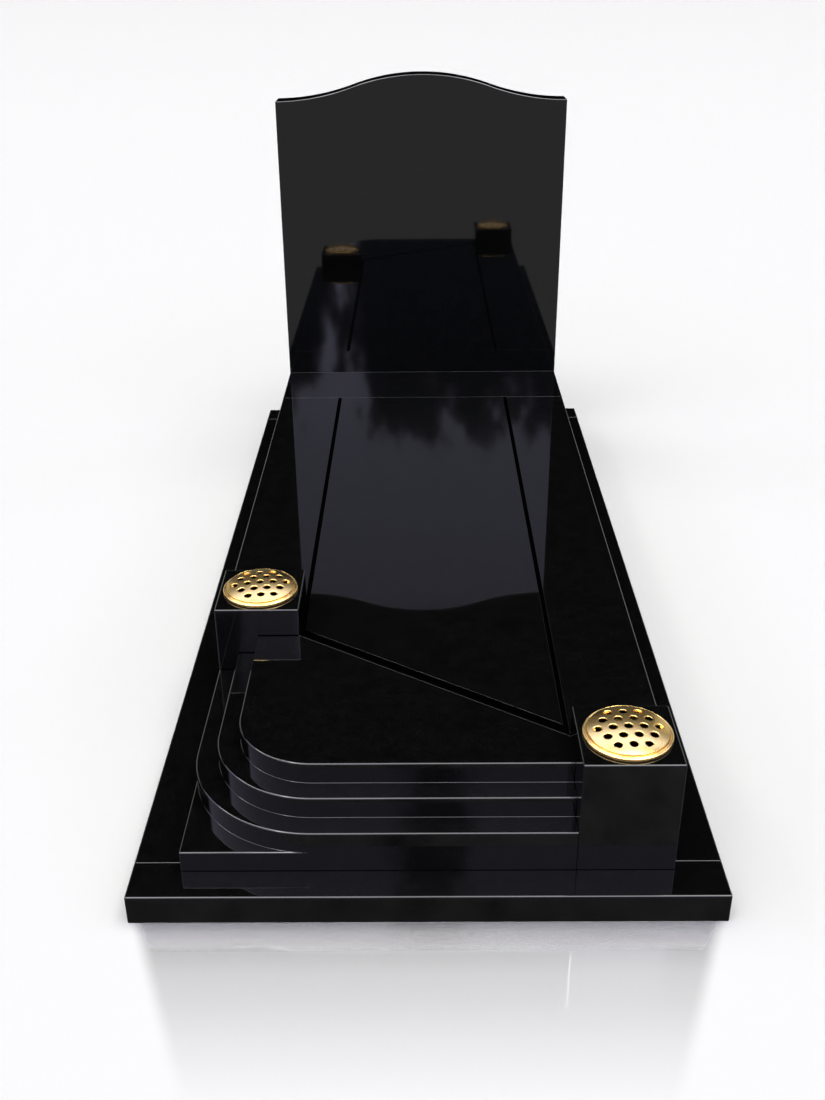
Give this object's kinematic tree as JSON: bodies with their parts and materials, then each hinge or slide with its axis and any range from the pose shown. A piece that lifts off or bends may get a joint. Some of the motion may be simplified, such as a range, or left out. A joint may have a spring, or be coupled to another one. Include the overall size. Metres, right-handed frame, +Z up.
{
  "type": "headstone",
  "caption": "Full kerb grave memorial: curved-top headstone on a plinth, long tablet between rails, rounded corner steps, pierced vase lids, kerb base.",
  "frame": {"origin": "on the ground under the middle of the base frame", "axes": "+Z up, +Y from the stepped foot end to the headstone, +X to the right of someone at the foot end who faces the headstone"},
  "size_m": [0.914, 2.032, 0.9988],
  "materials": {
    "granite": "mirror polished black granite with fine grain",
    "gold": "satin-polished gold-coloured metal"
  },
  "bodies": {
    "root": {"base_foot_kerb": "granite", "base_head_kerb": "granite", "base_left_kerb": "granite", "base_right_kerb": "granite", "lower_step": "granite", "middle_step": "granite", "top_step": "granite", "tablet": "granite", "left_rail": "granite", "right_rail": "granite", "left_vase_block": "granite", "right_vase_block": "granite", "head_plinth": "granite", "headstone": "granite", "left_vase_lid": "gold", "right_vase_lid": "gold"}
  },
  "joints": []
}
